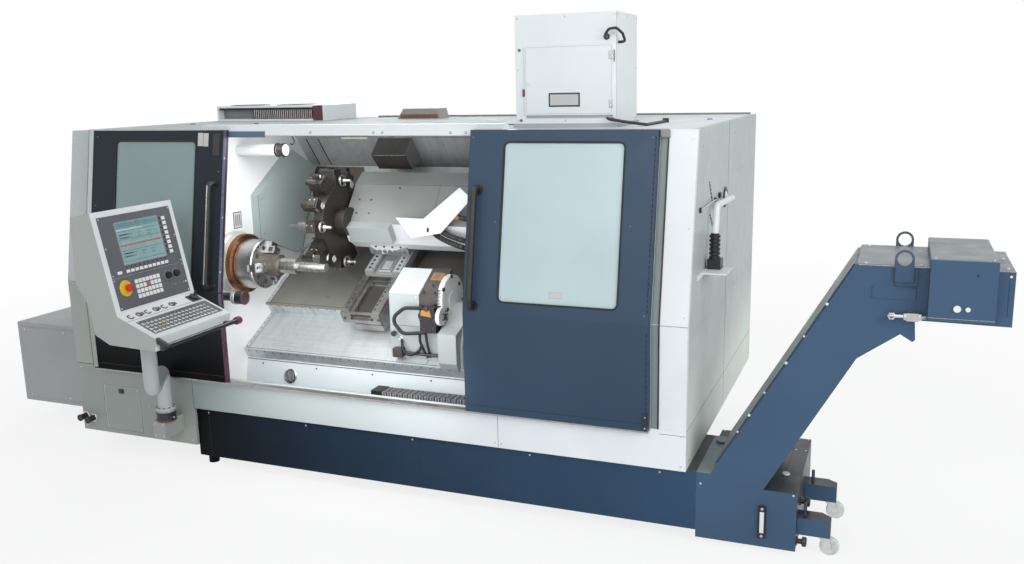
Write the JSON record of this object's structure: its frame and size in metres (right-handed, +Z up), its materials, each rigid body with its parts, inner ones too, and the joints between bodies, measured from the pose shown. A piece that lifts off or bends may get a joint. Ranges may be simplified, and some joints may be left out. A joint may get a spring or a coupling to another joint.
{
  "type": "cnc turning lathe",
  "caption": "Slant-bed turning lathe in a leaning sheet-metal cabinet with sliding doors, swivel operator panel, roof mist collector and inclined chip conveyor.",
  "frame": {"origin": "centre of the footprint, on the floor", "axes": "+X along the spindle from headstock to conveyor, +Y to the rear, +Z up"},
  "size_m": [6.169, 2.869, 2.629],
  "materials": {
    "black_bar": "satin black",
    "brass": "satin",
    "cast": "machined casting",
    "charcoal": "charcoal textured coat",
    "clear_wheel": "translucent tread",
    "frosted_glass": "frosted pane",
    "grey_bar": "satin grey",
    "light_sheet": "light grey powder coat",
    "panel_dark": "satin keypad and screen",
    "polished_steel": "polished",
    "red_plastic": "gloss",
    "side_sheet": "grey-green powder coat",
    "slate_blue": "slate blue textured coat",
    "steel": "brushed",
    "white_sheet": "white powder coat"
  },
  "bodies": {
    "machine": {"base_frame": "charcoal", "left_side_panel": "side_sheet", "right_side_panel": "side_sheet", "rear_panel": "side_sheet", "roof_panel": "light_sheet", "left_front_panel": "light_sheet", "front_apron": "white_sheet", "right_front_panel": "white_sheet", "header": "white_sheet", "door_rails": "steel", "left_side_box": "light_sheet", "headstock_wall": "white_sheet", "spindle_nose": "brass", "corner_guard": "side_sheet", "slant_bed": "cast", "bed_covers": "steel", "rear_liner": "steel", "work_lamp": "white_sheet", "spot_lamp": "black_bar", "ceiling_box": "cast", "drag_chain": "grey_bar", "mist_collector": "white_sheet", "heat_exchanger": "light_sheet", "roof_vent": "light_sheet", "coolant_gun": "white_sheet", "conveyor_trough": "slate_blue", "coolant_tank": "slate_blue", "conveyor_incline": "slate_blue", "lifting_lugs": "slate_blue", "conveyor_drive": "slate_blue", "pendant_bracket": "light_sheet"},
    "left_door": {"left_door_frame": "charcoal", "left_door_window": "frosted_glass", "left_door_handle": "grey_bar"},
    "right_door": {"right_door_frame": "slate_blue", "right_door_window": "frosted_glass", "right_door_handle": "black_bar"},
    "access_door": {"access_panel": "light_sheet"},
    "mist_door": {"mist_collector_door": "white_sheet"},
    "chuck": {"chuck_body": "polished_steel", "workpiece": "steel"},
    "jaw_1": {"chuck_jaw_1": "polished_steel"},
    "jaw_2": {"chuck_jaw_2": "polished_steel"},
    "jaw_3": {"chuck_jaw_3": "polished_steel"},
    "saddle": {"saddle": "steel"},
    "cross_slide": {"turret_housing": "light_sheet"},
    "turret": {"turret_disc": "cast"},
    "carriage": {"carriage_body": "light_sheet", "carriage_head": "cast"},
    "caster_front": {"caster_fork_front": "steel"},
    "wheel_front": {"caster_wheel_front": "clear_wheel"},
    "caster_rear": {"caster_fork_rear": "steel"},
    "wheel_rear": {"caster_wheel_rear": "clear_wheel"},
    "pendant_arm": {"pendant_arm": "light_sheet"},
    "pendant": {"pendant_housing": "white_sheet", "pendant_panel": "panel_dark"},
    "emergency_stop": {"emergency_stop": "red_plastic"},
    "feed_knob": {"feed_knob": "black_bar"},
    "spindle_knob": {"spindle_knob": "black_bar"},
    "handwheel": {"handwheel": "black_bar"}
  },
  "joints": [
    {"name": "left_door_slide", "type": "slide", "parent": "machine", "child": "left_door", "axis": [1, 0, 0], "range_m": [0, 0.78]},
    {"name": "right_door_slide", "type": "slide", "parent": "machine", "child": "right_door", "axis": [-1, 0, 0], "range_m": [0, 0.78]},
    {"name": "access_panel_hinge", "type": "hinge", "parent": "machine", "child": "access_door", "pos_m": [-2.0395, -0.6775, 0.312], "axis": [0, 0, -1], "range_deg": [0, 100]},
    {"name": "mist_door_hinge", "type": "hinge", "parent": "machine", "child": "mist_door", "pos_m": [1.2155, -0.2855, 2.292], "axis": [0, 0, 1], "range_deg": [0, 100]},
    {"name": "spindle_spin", "type": "hinge", "parent": "machine", "child": "chuck", "pos_m": [-1.0645, -0.2975, 1.22], "axis": [1, 0, 0], "continuous": true},
    {"name": "jaw_1_slide", "type": "slide", "parent": "chuck", "child": "jaw_1", "axis": [0, -1, 0], "range_m": [0, 0.006]},
    {"name": "jaw_2_slide", "type": "slide", "parent": "chuck", "child": "jaw_2", "axis": [0, 0.5, -0.866], "range_m": [0, 0.006]},
    {"name": "jaw_3_slide", "type": "slide", "parent": "chuck", "child": "jaw_3", "axis": [0, 0.5, 0.866], "range_m": [0, 0.006]},
    {"name": "saddle_slide", "type": "slide", "parent": "machine", "child": "saddle", "axis": [1, 0, 0], "range_m": [-0.08, 0.05]},
    {"name": "cross_slide_feed", "type": "slide", "parent": "saddle", "child": "cross_slide", "axis": [0, 0.8616, 0.5075], "range_m": [-0.03, 0.012]},
    {"name": "turret_index", "type": "hinge", "parent": "cross_slide", "child": "turret", "pos_m": [-0.7115, 0.0906, 1.44398], "axis": [1, 0, 0], "continuous": true},
    {"name": "carriage_slide", "type": "slide", "parent": "machine", "child": "carriage", "axis": [1, 0, 0], "range_m": [0, 0.6]},
    {"name": "caster_swivel_front", "type": "hinge", "parent": "machine", "child": "caster_front", "pos_m": [2.3525, -0.5675, 0.098], "axis": [0, 0, 1], "continuous": true},
    {"name": "caster_roll_front", "type": "hinge", "parent": "caster_front", "child": "wheel_front", "pos_m": [2.3865, -0.5675, 0.046], "axis": [0, 1, 0], "continuous": true},
    {"name": "caster_swivel_rear", "type": "hinge", "parent": "machine", "child": "caster_rear", "pos_m": [2.3525, -0.1375, 0.098], "axis": [0, 0, 1], "continuous": true},
    {"name": "caster_roll_rear", "type": "hinge", "parent": "caster_rear", "child": "wheel_rear", "pos_m": [2.3865, -0.1375, 0.046], "axis": [0, 1, 0], "continuous": true},
    {"name": "pendant_arm_swing", "type": "hinge", "parent": "machine", "child": "pendant_arm", "pos_m": [-1.4445, -0.7875, 0.395], "axis": [0, 0, 1], "range_deg": [-70, 0]},
    {"name": "pendant_swivel", "type": "hinge", "parent": "pendant_arm", "child": "pendant", "pos_m": [-1.2025, -1.1355, 0.95], "axis": [0, 0, 1], "range_deg": [-80, 5]},
    {"name": "emergency_stop_press", "type": "slide", "parent": "pendant", "child": "emergency_stop", "axis": [-0.978, 0, -0.2088], "range_m": [0, 0.0035], "stiffness_N_per_m": 800, "springref_m": -0.002},
    {"name": "feed_knob_turn", "type": "hinge", "parent": "pendant", "child": "feed_knob", "pos_m": [-1.12195, -1.0095, 1.284], "axis": [0.978, 0, 0.2088], "range_deg": [-135, 135]},
    {"name": "spindle_knob_turn", "type": "hinge", "parent": "pendant", "child": "spindle_knob", "pos_m": [-1.12195, -0.9465, 1.284], "axis": [0.978, 0, 0.2088], "range_deg": [-135, 135]},
    {"name": "handwheel_turn", "type": "hinge", "parent": "pendant", "child": "handwheel", "pos_m": [-1.06237, -0.8945, 1.13722], "axis": [0.3788, 0, 0.9255], "continuous": true}
  ],
  "couplings": [
    {"joint": "jaw_2_slide", "follows": "jaw_1_slide", "ratio": 1},
    {"joint": "jaw_3_slide", "follows": "jaw_1_slide", "ratio": 1}
  ]
}
